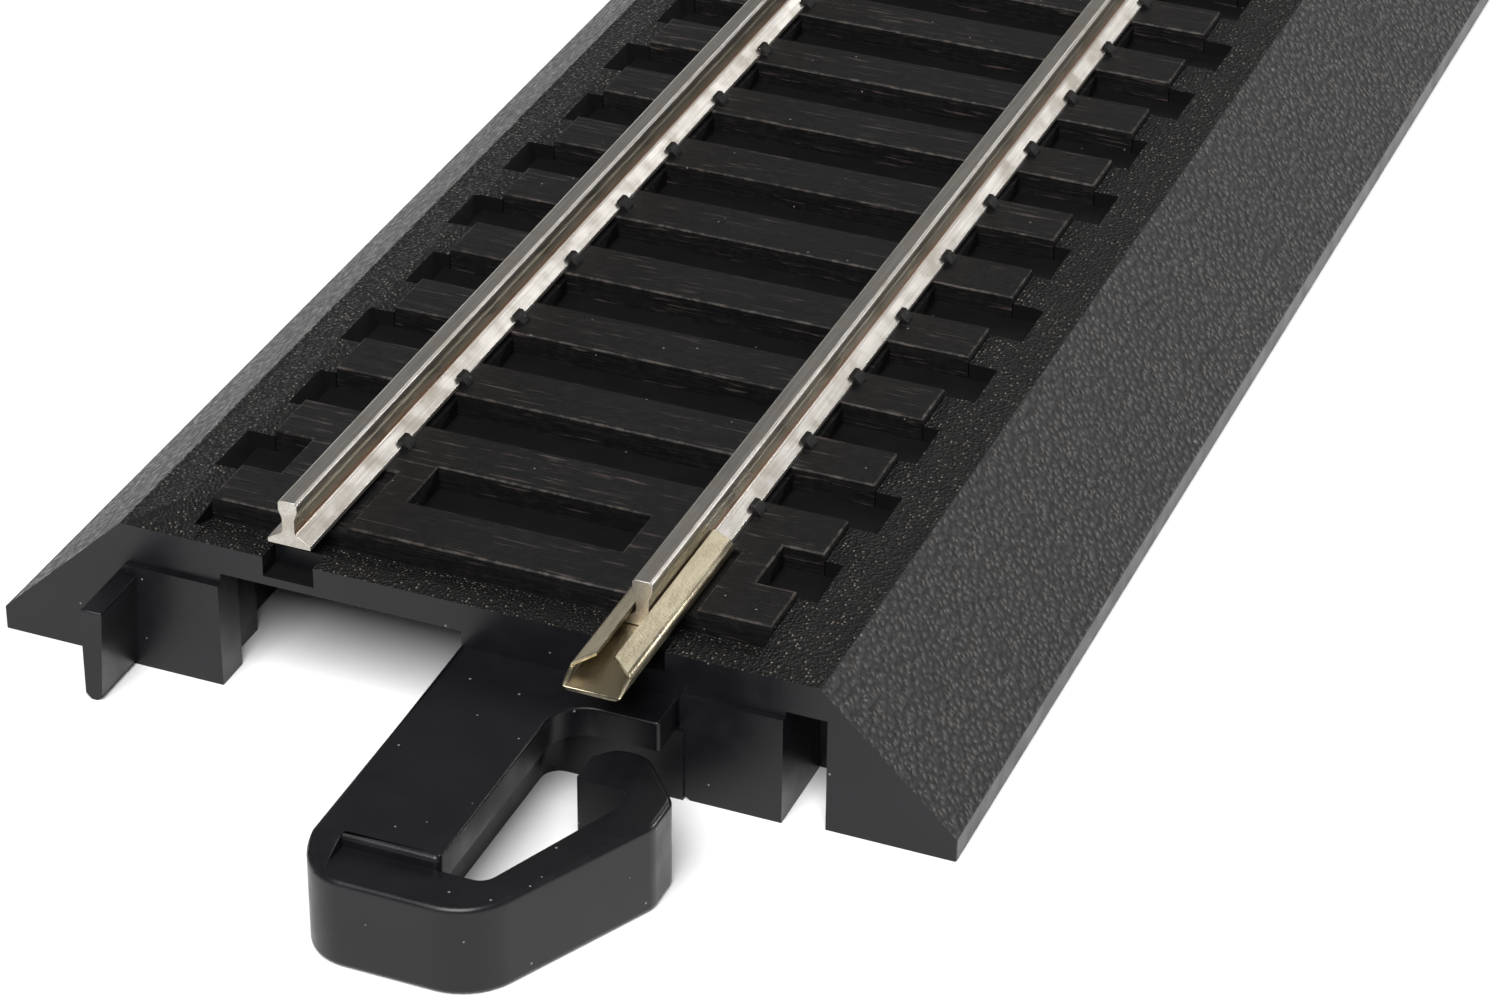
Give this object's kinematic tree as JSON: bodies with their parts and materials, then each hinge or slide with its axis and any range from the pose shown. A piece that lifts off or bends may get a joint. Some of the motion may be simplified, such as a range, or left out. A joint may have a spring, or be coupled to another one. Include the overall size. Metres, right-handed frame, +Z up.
{
  "type": "model track section",
  "caption": "Straight two-rail model railway track with sleepers on a sloped plastic roadbed, with snap coupling tongues, sockets and rail joiners at both ends.",
  "frame": {"origin": "middle of the base, on the half-turn axis of the section, at the level of the feet", "axes": "+Y along the track, +Z up from the feet to the rail heads, +X across the track; the end at -Y has its tongue at +X"},
  "size_m": [0.0482, 0.2634, 0.0107],
  "materials": {
    "roadbed_plastic": "moulded grain, semi-matte black",
    "sleeper_plastic": "moulded wood grain, matte black-brown",
    "rail_metal": "drawn nickel silver, satin",
    "joiner_metal": "folded nickel-plated sheet, warm tint"
  },
  "bodies": {
    "track": {"roadbed": "roadbed_plastic", "sleeper_strip": "sleeper_plastic", "rail_left": "rail_metal", "rail_right": "rail_metal"},
    "latch_arm_front": {"latch_arm_front": "roadbed_plastic"},
    "latch_arm_rear": {"latch_arm_rear": "roadbed_plastic"},
    "joiner_front": {"joiner_front": "joiner_metal"},
    "joiner_rear": {"joiner_rear": "joiner_metal"}
  },
  "joints": [
    {"name": "latch_front_flex", "type": "hinge", "parent": "track", "child": "latch_arm_front", "pos_m": [0.00902, -0.12926, 0.0023], "axis": [0, 0, 1], "range_deg": [0, 6], "stiffness_Nm_per_rad": 0.3},
    {"name": "latch_rear_flex", "type": "hinge", "parent": "track", "child": "latch_arm_rear", "pos_m": [-0.00902, 0.12926, 0.0023], "axis": [0, 0, 1], "range_deg": [0, 6], "stiffness_Nm_per_rad": 0.3},
    {"name": "joiner_front_slide", "type": "slide", "parent": "track", "child": "joiner_front", "axis": [0, -1, 0], "range_m": [0, 0.006]},
    {"name": "joiner_rear_slide", "type": "slide", "parent": "track", "child": "joiner_rear", "axis": [0, 1, 0], "range_m": [0, 0.006]}
  ]
}
